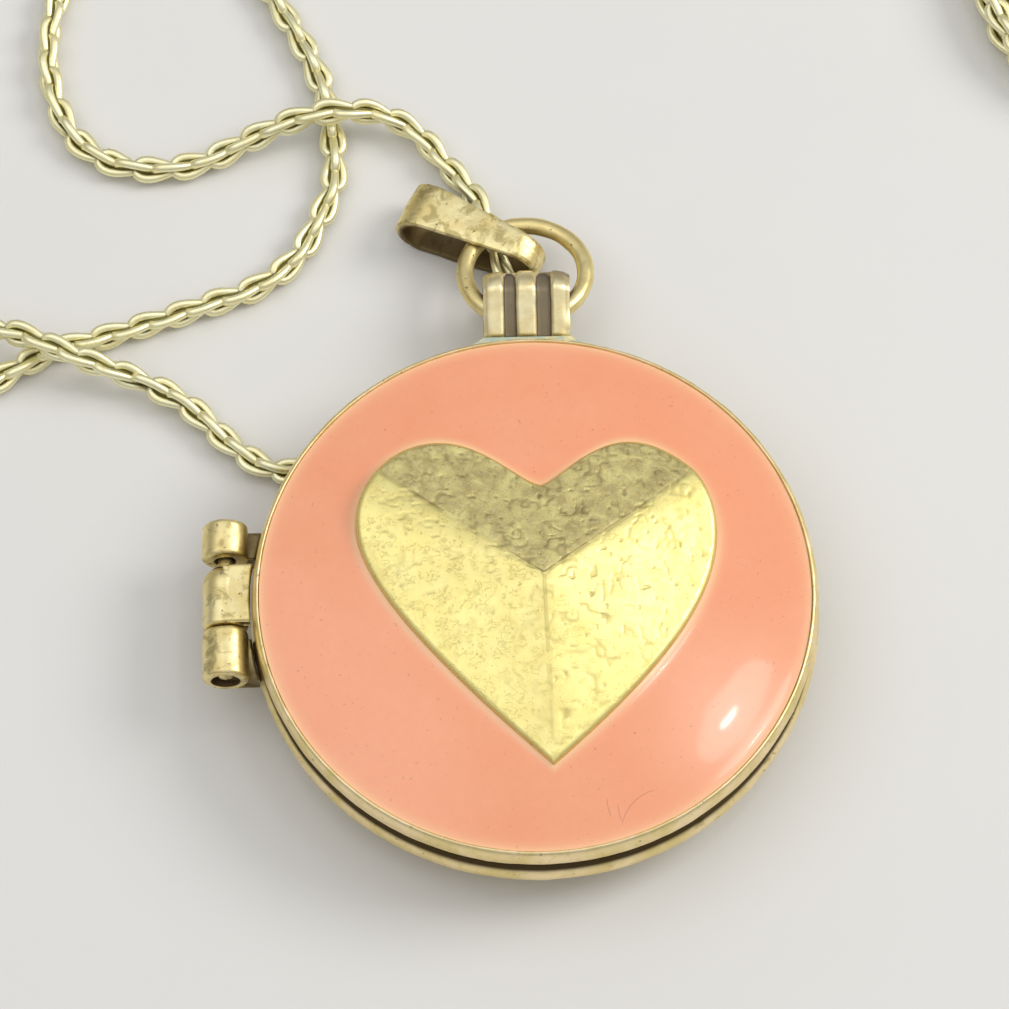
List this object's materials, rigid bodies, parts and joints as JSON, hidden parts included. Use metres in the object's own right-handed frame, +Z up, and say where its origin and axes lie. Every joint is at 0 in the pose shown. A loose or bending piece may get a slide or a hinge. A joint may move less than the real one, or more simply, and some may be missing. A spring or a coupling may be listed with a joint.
{
  "type": "photo locket necklace",
  "caption": "Round hinged photo locket with a coral enamel front and brass heart, on a woven chain with bail, jump ring and lobster clasp.",
  "frame": {"origin": "centre of the flat rest face in the middle of the locket's back, which lies on the table", "axes": "+Z up out of the enamelled front, +Y from the locket towards the bail, hinge on the -X side"},
  "size_m": [0.0835, 0.0679, 0.009],
  "materials": {
    "aged_brass": "aged, brushed and lightly pitted",
    "heart_brass": "antiqued, pitted, polished high spots",
    "dark_brass": "dark patina with verdigris",
    "chain_gold": "pale gold, bright wires, dark between them",
    "pin_steel": "dull steel",
    "coral_enamel": "glossy fired enamel",
    "photo_paper": "matt card",
    "clear_window": "clear"
  },
  "bodies": {
    "back": {"back_shell": "aged_brass", "back_rim": "aged_brass", "back_photo_card": "photo_paper", "back_photo_window": "clear_window", "back_photo_frame": "aged_brass", "catch_ledge": "aged_brass", "hinge_knuckle_upper": "aged_brass", "hinge_knuckle_lower": "aged_brass", "hinge_pin": "dark_brass", "loop_foot": "dark_brass", "ribbed_loop": "aged_brass", "chain_a_at_bail": "chain_gold", "chain_a": "chain_gold", "chain_b_at_bail": "chain_gold", "chain_b": "chain_gold", "chain_coil": "chain_gold", "chain_tail": "chain_gold", "end_cap_a": "chain_gold", "end_cap_b": "chain_gold", "end_ring_a": "chain_gold", "end_ring_b": "chain_gold", "clasp_body": "chain_gold", "clasp_rivet": "pin_steel", "clasp_spring": "pin_steel"},
    "cover": {"front_cover": "aged_brass", "front_rim": "aged_brass", "coral_enamel": "coral_enamel", "heart_relief": "heart_brass", "front_photo_card": "photo_paper", "front_photo_window": "clear_window", "front_photo_frame": "aged_brass", "catch_tongue": "aged_brass", "hinge_knuckle_middle": "aged_brass"},
    "ring": {"jump_ring": "aged_brass"},
    "bail": {"bail": "aged_brass"},
    "clasp_lever": {"clasp_lever": "chain_gold"}
  },
  "joints": [
    {"name": "cover_hinge", "type": "hinge", "parent": "back", "child": "cover", "pos_m": [-0.0174, 0.0005, 0.00422], "axis": [0, -1, 0], "range_deg": [0, 150]},
    {"name": "ring_swing", "type": "hinge", "parent": "back", "child": "ring", "pos_m": [0, 0.018, 0.00375], "axis": [1, 0, 0], "range_deg": [0, 30], "deforming": ["chain_a_at_bail", "chain_b_at_bail"]},
    {"name": "bail_swing", "type": "hinge", "parent": "ring", "child": "bail", "pos_m": [-0.00248, 0.02383, 0.00245], "axis": [0.7071, 0.6901, -0.1543], "range_deg": [0, 10]},
    {"name": "clasp_lever_turn", "type": "hinge", "parent": "back", "child": "clasp_lever", "pos_m": [0.0148, 0.04845, 0.0014], "axis": [0, 0, 1], "range_deg": [0, 18]}
  ]
}
